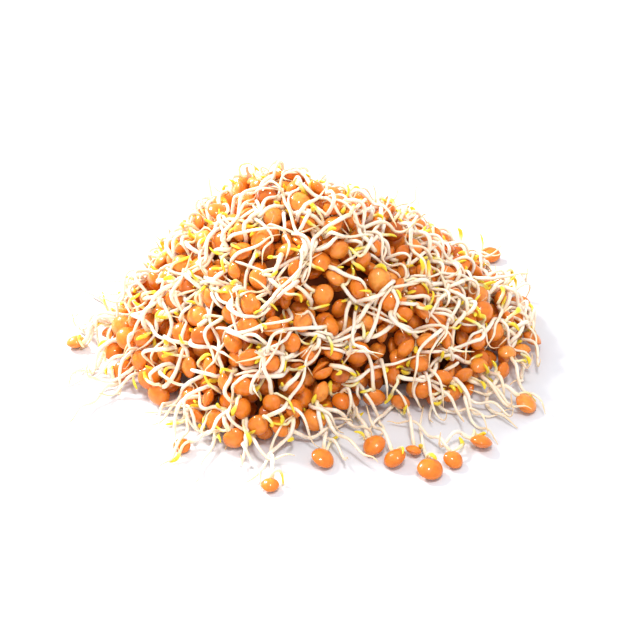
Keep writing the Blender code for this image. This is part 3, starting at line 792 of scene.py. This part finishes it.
def merged(*shapes):
    """Several shapes with the same marks as one."""
    vertices = np.concatenate([shape[0] for shape in shapes])
    faces, offset = [], 0
    for shape in shapes:
        faces += [tuple(int(corner) + offset for corner in face) for face in shape[1]]
        offset += len(shape[0])
    marks = {key: np.concatenate([shape[2][key] for shape in shapes]) for key in shapes[0][2]}
    return vertices, faces, marks


def add_piece(name, shape, material, nodes):
    """A smooth mesh object that stands for CAD nodes and carries its marks as attributes."""
    vertices, faces, marks = shape
    mesh = bpy.data.meshes.new(name)
    mesh.from_pydata(vertices.tolist(), [], [tuple(int(corner) for corner in face) for face in faces])
    if not mesh.polygons:
        raise RuntimeError(f"{name} has no faces")
    for key, values in marks.items():
        attribute = mesh.attributes.new(key, "FLOAT", "POINT")
        attribute.data.foreach_set("value", np.asarray(values, np.float32))
    mesh.shade_smooth()
    mesh.materials.append(material)
    piece = bpy.data.objects.new(name, mesh)
    bpy.context.scene.collection.objects.link(piece)
    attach(piece, "root")
    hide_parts(*nodes)


def new_group(name, inputs, outputs):
    """A shader node group with its inputs and outputs in place: the group and its two end nodes."""
    group = bpy.data.node_groups.new(name, "ShaderNodeTree")
    for label, kind, default in inputs:
        socket = group.interface.new_socket(label, in_out="INPUT", socket_type=kind)
        socket.default_value = default
    for label, kind in outputs:
        group.interface.new_socket(label, in_out="OUTPUT", socket_type=kind)
    return group, group.nodes.new("NodeGroupInput"), group.nodes.new("NodeGroupOutput")


@functools.cache
def patchy_tint():
    """Mixes a second colour into a first in soft patches, more where the share is larger."""
    inputs = (
        ("Color", "NodeSocketColor", (1, 1, 1, 1)),
        ("Patch Color", "NodeSocketColor", (0.5, 0.4, 0.3, 1)),
        ("Share", "NodeSocketFloat", 0.3),
        ("Patch Scale", "NodeSocketFloat", 400.0),
    )
    group, start, end = new_group("Patchy Tint", inputs, (("Color", "NodeSocketColor"),))
    place = group.nodes.new("ShaderNodeTexCoord")
    noise = group.nodes.new("ShaderNodeTexNoise")
    noise.inputs["Detail"].default_value = 3.0
    soften = group.nodes.new("ShaderNodeMapRange")
    soften.inputs["From Min"].default_value = 0.35
    soften.inputs["From Max"].default_value = 0.7
    amount = group.nodes.new("ShaderNodeMath")
    amount.operation = "MULTIPLY"
    mix = group.nodes.new("ShaderNodeMix")
    mix.data_type = "RGBA"
    link = group.links.new
    link(place.outputs["Object"], noise.inputs["Vector"])
    link(start.outputs["Patch Scale"], noise.inputs["Scale"])
    link(noise.outputs["Fac"], soften.inputs["Value"])
    link(soften.outputs["Result"], amount.inputs[0])
    link(start.outputs["Share"], amount.inputs[1])
    link(amount.outputs[0], mix.inputs["Factor"])
    link(start.outputs["Color"], mix.inputs["A"])
    link(start.outputs["Patch Color"], mix.inputs["B"])
    link(mix.outputs["Result"], end.inputs["Color"])
    return group


@functools.cache
def fine_relief():
    """A normal for fine bumps, as on wet skin."""
    inputs = (("Scale", "NodeSocketFloat", 1500.0), ("Height", "NodeSocketFloat", 0.00004))
    group, start, end = new_group("Fine Relief", inputs, (("Normal", "NodeSocketVector"),))
    place = group.nodes.new("ShaderNodeTexCoord")
    noise = group.nodes.new("ShaderNodeTexNoise")
    noise.inputs["Detail"].default_value = 2.0
    bump = group.nodes.new("ShaderNodeBump")
    bump.inputs["Strength"].default_value = 1.0
    link = group.links.new
    link(place.outputs["Object"], noise.inputs["Vector"])
    link(start.outputs["Scale"], noise.inputs["Scale"])
    link(noise.outputs["Fac"], bump.inputs["Height"])
    link(start.outputs["Height"], bump.inputs["Distance"])
    link(bump.outputs["Normal"], end.inputs["Normal"])
    return group


def wet_material(name, roughness, wetness, glow, glow_colour, relief_scale, relief_height):
    """A moist plant skin that glows where light gets in, with fine bumps, still without its colour."""
    material = bpy.data.materials.new(name)
    material.use_nodes = True
    nodes = material.node_tree.nodes
    shader = nodes["Principled BSDF"]
    shader.inputs["Roughness"].default_value = roughness
    shader.inputs["Specular IOR Level"].default_value = SKIN_SHINE
    shader.inputs["Coat Weight"].default_value = wetness
    shader.inputs["Coat Roughness"].default_value = FILM_ROUGHNESS
    shader.inputs["Subsurface Weight"].default_value = glow
    shader.inputs["Subsurface Radius"].default_value = glow_colour
    shader.inputs["Subsurface Scale"].default_value = GLOW_DEPTH
    relief = nodes.new("ShaderNodeGroup")
    relief.node_tree = fine_relief()
    relief.inputs["Scale"].default_value = relief_scale
    relief.inputs["Height"].default_value = relief_height
    material.node_tree.links.new(relief.outputs["Normal"], shader.inputs["Normal"])
    return material


def mark_ramp(material, mark, stops):
    """The colour that a mark of the mesh picks from a ramp of (position, colour) stops."""
    nodes = material.node_tree.nodes
    attribute = nodes.new("ShaderNodeAttribute")
    attribute.attribute_name = mark
    ramp = nodes.new("ShaderNodeValToRGB")
    while len(ramp.color_ramp.elements) < len(stops):
        ramp.color_ramp.elements.new(0.5)
    for element, (position, colour) in zip(ramp.color_ramp.elements, stops):
        element.position = position
        element.color = (*colour, 1)
    material.node_tree.links.new(attribute.outputs["Fac"], ramp.inputs["Fac"])
    return ramp.outputs["Color"]


def mark_mix(material, mark, weight, below, colour):
    """A colour laid over the one below where a mark of the mesh is strong."""
    nodes, links = material.node_tree.nodes, material.node_tree.links
    attribute = nodes.new("ShaderNodeAttribute")
    attribute.attribute_name = mark
    amount = nodes.new("ShaderNodeMath")
    amount.operation = "MULTIPLY"
    amount.inputs[1].default_value = weight
    mix = nodes.new("ShaderNodeMix")
    mix.data_type = "RGBA"
    mix.inputs["B"].default_value = (*colour, 1)
    links.new(attribute.outputs["Fac"], amount.inputs[0])
    links.new(amount.outputs[0], mix.inputs["Factor"])
    links.new(below, mix.inputs["A"])
    return mix.outputs["Result"]


def finish_colour(material, below, patch_colour, share, scale):
    """Puts soft patches on a colour, plain or from another node, and feeds it to the shader."""
    nodes, links = material.node_tree.nodes, material.node_tree.links
    tint = nodes.new("ShaderNodeGroup")
    tint.node_tree = patchy_tint()
    tint.inputs["Patch Color"].default_value = (*patch_colour, 1)
    tint.inputs["Share"].default_value = share
    tint.inputs["Patch Scale"].default_value = scale
    if isinstance(below, tuple):
        tint.inputs["Color"].default_value = (*below, 1)
    else:
        links.new(below, tint.inputs["Color"])
    links.new(tint.outputs["Color"], nodes["Principled BSDF"].inputs["Base Color"])


def shade(colour, red, green, blue):
    """A colour with each channel made stronger or weaker."""
    return colour[0] * red, colour[1] * green, colour[2] * blue


@functools.cache
def seed_material():
    """Orange skin, paler at a seed's crown, with a few browned and pale seeds, and a rim darkened partly
    in its own colour and partly as painted shade.
    """
    settings = bpy.context.scene.sprout_heap
    orange = settings.seed_colour
    material = wet_material(
        "seed_coat",
        roughness=0.36,
        wetness=settings.wetness,
        glow=0.2,
        glow_colour=(1.0, 0.3, 0.06),
        relief_scale=520.0,
        relief_height=0.16 * MM,
    )
    stops = (
        (0.0, shade(orange, 0.37, 0.25, 0.25)),
        (0.05, shade(orange, 0.67, 0.51, 0.25)),
        (0.14, shade(orange, 0.93, 0.82, 0.50)),
        (0.68, tuple(orange)),
        (1.0, shade(orange, 1.07, 1.5, 3.0)),
    )
    colour = mark_ramp(material, "tone", stops)
    # Painted shade at the rim, where a seed's faces curve away and meet, on top of its own darker rim.
    colour = mark_mix(material, "rim", 0.45, colour, shade(orange, 0.63, 0.44, 0.25))
    colour = mark_mix(material, "crown", 0.3, colour, shade(orange, 1.03, 1.65, 3.5))
    finish_colour(material, colour, shade(orange, 0.70, 0.49, 0.30), share=0.6, scale=600.0)
    return material


@functools.cache
def root_material():
    """Cream flesh, yellower where it leaves the seed and browner towards its tip."""
    settings = bpy.context.scene.sprout_heap
    cream = settings.root_colour
    material = wet_material(
        "root_flesh",
        roughness=0.42,
        wetness=STRAND_WETNESS * settings.wetness,
        glow=0.3,
        glow_colour=(1.0, 0.7, 0.4),
        relief_scale=1500.0,
        relief_height=0.05 * MM,
    )
    stops = (
        (0.0, shade(cream, 0.97, 0.84, 0.56)),
        (0.12, tuple(cream)),
        (0.75, shade(cream, 0.98, 0.94, 0.86)),
        (1.0, shade(cream, 0.82, 0.58, 0.34)),
    )
    colour = mark_ramp(material, "along", stops)
    colour = mark_mix(material, "tone", 0.26, colour, shade(cream, 0.96, 0.74, 0.48))
    finish_colour(material, colour, shade(cream, 0.88, 0.56, 0.28), share=0.26, scale=220.0)
    return material


@functools.cache
def shoot_material():
    """A cream stem that turns bright yellow at its folded leaves."""
    settings = bpy.context.scene.sprout_heap
    cream, yellow = settings.root_colour, settings.leaf_colour
    material = wet_material(
        "shoot_flesh",
        roughness=0.42,
        wetness=STRAND_WETNESS * settings.wetness,
        glow=0.3,
        glow_colour=(1.0, 0.8, 0.3),
        relief_scale=1500.0,
        relief_height=0.05 * MM,
    )
    stops = (
        (0.0, shade(cream, 0.94, 0.92, 0.80)),
        (0.52, shade(cream, 0.94, 0.91, 0.60)),
        (0.68, shade(yellow, 1.05, 1.15, 5.0)),
        (1.0, tuple(yellow)),
    )
    colour = mark_ramp(material, "along", stops)
    finish_colour(material, colour, shade(yellow, 0.88, 1.1, 8.0), share=0.2, scale=300.0)
    return material


def painted_shade_middle_material():
    """Seed skin deep in the heap, darkened as painted shade where little light gets, with darker patches
    of painted shade.
    """
    orange = bpy.context.scene.sprout_heap.seed_colour
    painted_shade_colour = shade(orange, 0.22, 0.21, 0.46)
    material = plain_material("shaded_heap_middle", painted_shade_colour, 1.0)
    finish_colour(material, painted_shade_colour, shade(orange, 0.11, 0.09, 0.23), share=0.8, scale=250.0)
    return material


def seed_shapes(seeds, sides, rings, opened_share, random):
    """All of a set of seeds: whole ones, ones with a slit at the crown and gaping ones."""
    kind = random.random(len(seeds["place"]))
    gaping = kind < opened_share
    slit = ~gaping & (kind < PARTED_SHARE)
    whole = ~gaping & ~slit
    shapes = []
    for template, rows in (
        (lens_template(sides, rings, 0.0), whole),
        (lens_template(sides, rings, SLIT_DEPTH), slit),
        (opened_template(sides, rings, GAPE_ANGLE), gaping),
    ):
        if rows.any():
            shapes.append(stamped(template, picked(seeds, rows), random))
    return merged(*shapes)


class SproutHeapSettings(bpy.types.PropertyGroup):
    buried_spacing: FloatProperty(
        name="Buried Seed Spacing",
        description="Least distance between the middles of two seeds under the outermost layer",
        default=4.35 * MM,
        min=3.0 * MM,
        max=9.0 * MM,
        unit="LENGTH",
        subtype="DISTANCE",
    )
    opened_share: FloatProperty(
        name="Gaping Seeds",
        description="Share of the seeds whose two halves gape at the crown",
        default=0.1,
        min=0.0,
        max=1.0,
        subtype="FACTOR",
    )
    root_width: FloatProperty(
        name="Root Width",
        description="Width of the roots as a share of that of the part",
        default=0.96,
        min=0.5,
        max=1.3,
        subtype="FACTOR",
    )
    leaf_width: FloatProperty(
        name="Leaf Width",
        description="Width of the shoots' folded leaves as a share of that of the part",
        default=1.25,
        min=0.8,
        max=2.0,
        subtype="FACTOR",
    )
    seed_colour: FloatVectorProperty(
        name="Seed Colour",
        description="Colour of an even, well-lit seed",
        default=(0.92, 0.285, 0.026),
        min=0.0,
        max=1.0,
        subtype="COLOR",
    )
    root_colour: FloatVectorProperty(
        name="Root Colour",
        description="Colour of the roots and of the shoots' stems",
        default=(0.97, 0.89, 0.80),
        min=0.0,
        max=1.0,
        subtype="COLOR",
    )
    leaf_colour: FloatVectorProperty(
        name="Leaf Colour",
        description="Colour of the tips of the shoots",
        default=(0.84, 0.60, 0.012),
        min=0.0,
        max=1.0,
        subtype="COLOR",
    )
    seed_sides: IntProperty(
        name="Seed Sides",
        description="Number of faces round an outer seed",
        default=24,
        min=6,
        max=48,
    )
    root_rings: IntProperty(
        name="Root Rings",
        description="Number of rings along an outer root",
        default=38,
        min=8,
        max=80,
    )
    wetness: FloatProperty(
        name="Wetness",
        description="Strength of the film of water on the seeds",
        default=0.7,
        min=0.0,
        max=1.0,
        subtype="FACTOR",
    )
    key_power: FloatProperty(
        name="Key Light",
        description="Power of the large soft light at the back left",
        default=11.2,
        min=0.0,
        unit="POWER",
    )
    sky_strength: FloatProperty(
        name="Fill Light",
        description="Brightness of the white surroundings",
        default=0.84,
        min=0.0,
    )


class SPROUTS_OT_seeds(bpy.types.Operator):
    """Adds the outer and the buried seeds of the heap"""

    bl_idname = "sprouts.seeds"
    bl_label = "Add Seeds"

    def execute(self, context):
        settings = context.scene.sprout_heap
        random = np.random.default_rng(LOOKS_RANDOM_SEED)
        heap = plan()
        on_heap = picked(heap["seeds"], ~heap["seeds"]["edge"])
        outer = seed_shapes(on_heap, settings.seed_sides, SEED_RINGS, settings.opened_share, random)
        add_piece("outer_seeds", outer, seed_material(), ["seed_heap"])
        buried = seed_shapes(heap["buried"], settings.seed_sides // 2, BURIED_SEED_RINGS, 0.0, random)
        add_piece("buried_seeds", buried, seed_material(), ["seed_heap"])
        # A dark core under the buried seeds: painted shade in the gaps between them.
        add_piece("shaded_heap_middle", middle_shape(), painted_shade_middle_material(), ["seed_heap"])
        return {"FINISHED"}


class SPROUTS_OT_strands(bpy.types.Operator):
    """Adds the roots and the shoots on the heap"""

    bl_idname = "sprouts.strands"
    bl_label = "Add Roots and Shoots"

    def execute(self, context):
        settings = context.scene.sprout_heap
        random = np.random.default_rng(LOOKS_RANDOM_SEED)
        heap = plan()
        on_heap = ~heap["seeds"]["edge"]
        rings = settings.root_rings
        roots, shoots = (picked(heap[kind], on_heap) for kind in ("roots", "shoots"))
        outer_roots = root_tubes(roots, rings, ROOT_SIDES, random)
        buried_roots = root_tubes(heap["deep_roots"], rings * 3 // 4, BURIED_ROOT_SIDES, random)
        outer_shoots = shoot_tubes(shoots, SHOOT_RINGS, SHOOT_SIDES, random)
        buried_shoots = shoot_tubes(heap["deep_shoots"], BURIED_SHOOT_RINGS, BURIED_SHOOT_SIDES, random)
        pieces = (
            ("outer_roots", outer_roots, root_material()),
            ("buried_roots", buried_roots, root_material()),
            ("outer_shoots", outer_shoots, shoot_material()),
            ("buried_shoots", buried_shoots, shoot_material()),
        )
        for name, shape, material in pieces:
            add_piece(name, shape, material, ["root_tangle"])
        return {"FINISHED"}


class SPROUTS_OT_edge_sprouts(bpy.types.Operator):
    """Adds the single sprouts at the foot of the heap"""

    bl_idname = "sprouts.edge_sprouts"
    bl_label = "Add Edge Sprouts"

    def execute(self, context):
        settings = context.scene.sprout_heap
        random = np.random.default_rng(LOOKS_RANDOM_SEED)
        heap = plan()
        for index in np.flatnonzero(heap["seeds"]["edge"]):
            rows = [index]
            number = f"{index + 1:02d}"
            seed_nodes, root_nodes = [f"edge_sprout_{number}_seed"], [f"edge_sprout_{number}_root"]
            seed = seed_shapes(picked(heap["seeds"], rows), settings.seed_sides, SEED_RINGS, 0.0, random)
            add_piece(f"edge_seed_{number}", seed, seed_material(), seed_nodes)
            root = root_tubes(picked(heap["roots"], rows), settings.root_rings, EDGE_ROOT_SIDES, random)
            shoot = shoot_tubes(picked(heap["shoots"], rows), SHOOT_RINGS, SHOOT_SIDES, random)
            add_piece(f"edge_root_{number}", root, root_material(), root_nodes)
            add_piece(f"edge_shoot_{number}", shoot, shoot_material(), root_nodes)
        return {"FINISHED"}


def plain_material(name, colour, roughness):
    """A dull material of one colour."""
    material = bpy.data.materials.new(name)
    material.use_nodes = True
    shader = material.node_tree.nodes["Principled BSDF"]
    shader.inputs["Base Color"].default_value = (*colour, 1)
    shader.inputs["Roughness"].default_value = roughness
    return material


def add_table():
    half = TABLE_HALF_WIDTH
    corners = [(-half, -half, 0), (half, -half, 0), (half, half, 0), (-half, half, 0)]
    mesh = bpy.data.meshes.new("table")
    mesh.from_pydata(corners, [], [(0, 1, 2, 3)])
    mesh.materials.append(plain_material("white_table", TABLE_COLOUR, TABLE_ROUGHNESS))
    table = bpy.data.objects.new("table", mesh)
    bpy.context.scene.collection.objects.link(table)
    table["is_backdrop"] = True


def turned_to(item, target):
    """Turns a lamp or camera so that it looks at a point."""
    way = item.location - type(item.location)(target)
    item.rotation_euler = way.to_track_quat("Z", "Y").to_euler()


def add_lamp(name, place, size, power, colour):
    """A round soft lamp that shines on the heap."""
    data = bpy.data.lights.new(name, "AREA")
    data.shape = "DISK"
    data.size = size
    data.energy = power
    data.color = colour
    lamp = bpy.data.objects.new(name, data)
    lamp.location = place
    turned_to(lamp, LIT_POINT)
    bpy.context.scene.collection.objects.link(lamp)


def add_sky(strength):
    world = bpy.data.worlds.new("white_surroundings")
    world.use_nodes = True
    background = world.node_tree.nodes["Background"]
    background.inputs["Color"].default_value = (*SKY_COLOUR, 1)
    background.inputs["Strength"].default_value = strength
    bpy.context.scene.world = world


def add_camera():
    data = bpy.data.cameras.new("photo_camera")
    data.lens = CAMERA_LENS
    data.sensor_width = SENSOR_WIDTH
    data.clip_start = 0.01
    camera = bpy.data.objects.new("photo_camera", data)
    tilt = math.radians(CAMERA_ELEVATION)
    camera.location = (
        CAMERA_TARGET[0],
        CAMERA_TARGET[1] - CAMERA_DISTANCE * math.cos(tilt),
        CAMERA_TARGET[2] + CAMERA_DISTANCE * math.sin(tilt),
    )
    turned_to(camera, CAMERA_TARGET)
    bpy.context.scene.collection.objects.link(camera)
    bpy.context.scene.camera = camera


class SPROUTS_OT_stage(bpy.types.Operator):
    """Adds the white table, the soft lights and the camera"""

    bl_idname = "sprouts.stage"
    bl_label = "Add Stage"

    def execute(self, context):
        settings = context.scene.sprout_heap
        add_table()
        front_power = FRONT_LAMP_SHARE * settings.key_power
        add_lamp("key", KEY_LAMP_PLACE, KEY_LAMP_SIZE, settings.key_power, KEY_LAMP_COLOUR)
        add_lamp("front_fill", FRONT_LAMP_PLACE, FRONT_LAMP_SIZE, front_power, FRONT_LAMP_COLOUR)
        add_sky(settings.sky_strength)
        add_camera()
        context.scene.view_settings.view_transform = "Standard"
        return {"FINISHED"}


class SPROUTS_PT_panel(bpy.types.Panel):
    bl_label = "Lentil Sprouts"
    bl_idname = "SPROUTS_PT_panel"
    bl_space_type = "VIEW_3D"
    bl_region_type = "UI"
    bl_category = "Sprouts"

    def draw(self, context):
        settings = context.scene.sprout_heap
        for name in SproutHeapSettings.__annotations__:
            self.layout.prop(settings, name)
        for operator in OPERATORS:
            self.layout.operator(operator.bl_idname)


OPERATORS = (SPROUTS_OT_seeds, SPROUTS_OT_strands, SPROUTS_OT_edge_sprouts, SPROUTS_OT_stage)
CLASSES = (SproutHeapSettings, *OPERATORS, SPROUTS_PT_panel)


def register():
    for item in CLASSES:
        bpy.utils.register_class(item)
    bpy.types.Scene.sprout_heap = PointerProperty(type=SproutHeapSettings)


def unregister():
    del bpy.types.Scene.sprout_heap
    for item in reversed(CLASSES):
        bpy.utils.unregister_class(item)


def main():
    register()
    bpy.ops.sprouts.seeds()
    bpy.ops.sprouts.strands()
    bpy.ops.sprouts.edge_sprouts()
    bpy.ops.sprouts.stage()
    sizes = {"cad": CAD_BOX, "scene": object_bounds()}
    sizes = {name: [[float(value) for value in corner] for corner in box] for name, box in sizes.items()}


if __name__ == "__main__":
    main()
